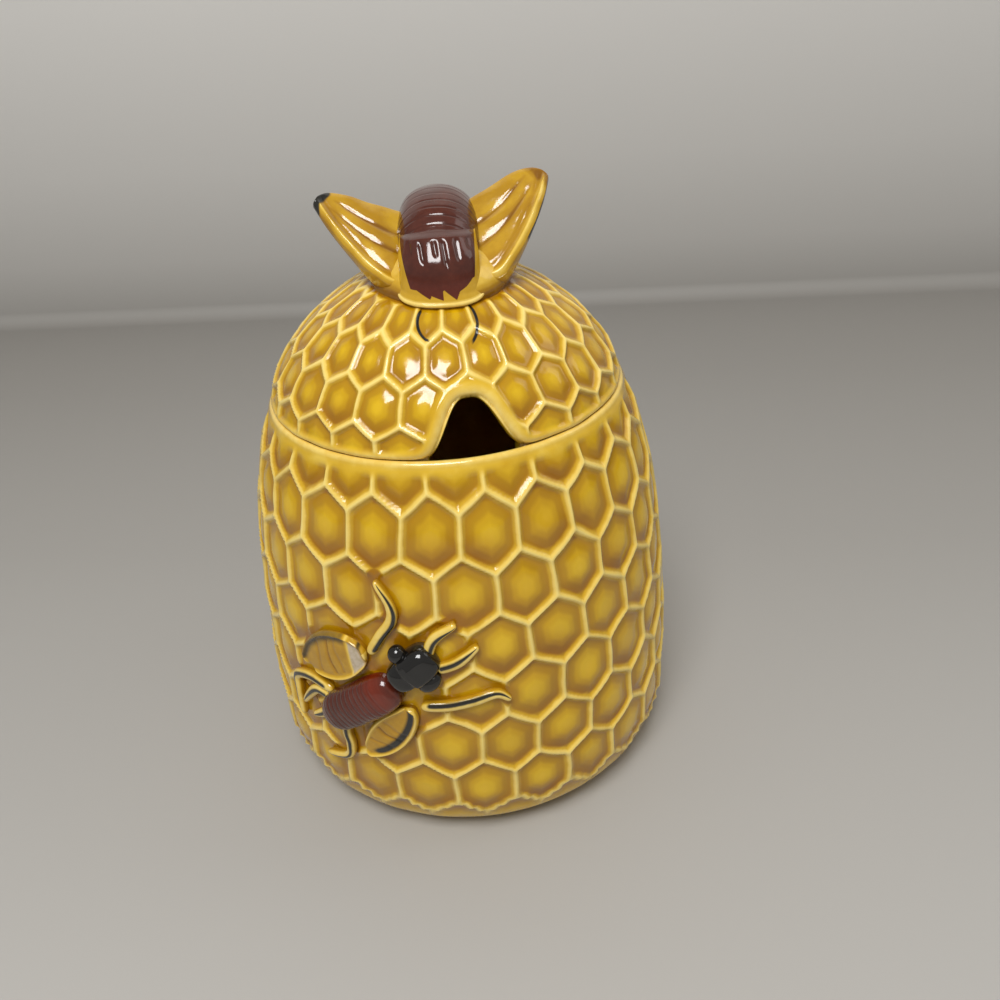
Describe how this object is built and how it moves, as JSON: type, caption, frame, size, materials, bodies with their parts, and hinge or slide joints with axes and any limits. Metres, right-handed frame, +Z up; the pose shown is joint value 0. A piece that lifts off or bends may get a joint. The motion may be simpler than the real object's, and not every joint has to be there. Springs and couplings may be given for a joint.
{
  "type": "honey pot with a lift-off lid",
  "caption": "Beehive-shaped glazed honey pot with raised honeycomb, a domed lift-off lid notched for a spoon, a bee astride the lid as its grip and a second bee crawling up the wall.",
  "frame": {"origin": "middle of the foot, on the table", "axes": "+Z up through the bee on the lid; the lid's spoon notch faces -Y; the wall bee is on the -X side of the front"},
  "size_m": [0.088, 0.0883, 0.1183],
  "materials": {
    "honey_glaze": "glossy",
    "brown_glaze": "glossy",
    "black_glaze": "glossy",
    "wing_glaze": "glossy"
  },
  "bodies": {
    "pot": {"pot": "honey_glaze", "wall_bee_body": "brown_glaze", "wall_bee_head": "black_glaze", "wall_bee_eyes": "black_glaze", "wall_bee_upper_wing": "wing_glaze", "wall_bee_lower_wing": "wing_glaze", "wall_bee_feelers": "black_glaze", "wall_bee_front_legs": "black_glaze", "wall_bee_hind_legs": "black_glaze"},
    "lid": {"lid": "honey_glaze", "lid_bee_mound": "honey_glaze", "lid_bee_body": "brown_glaze", "lid_bee_head": "brown_glaze", "lid_bee_left_wing": "wing_glaze", "lid_bee_right_wing": "wing_glaze"}
  },
  "joints": [
    {"name": "lid_lift", "type": "slide", "parent": "pot", "child": "lid", "axis": [0, 0, 1], "range_m": [0, 0.06]}
  ]
}
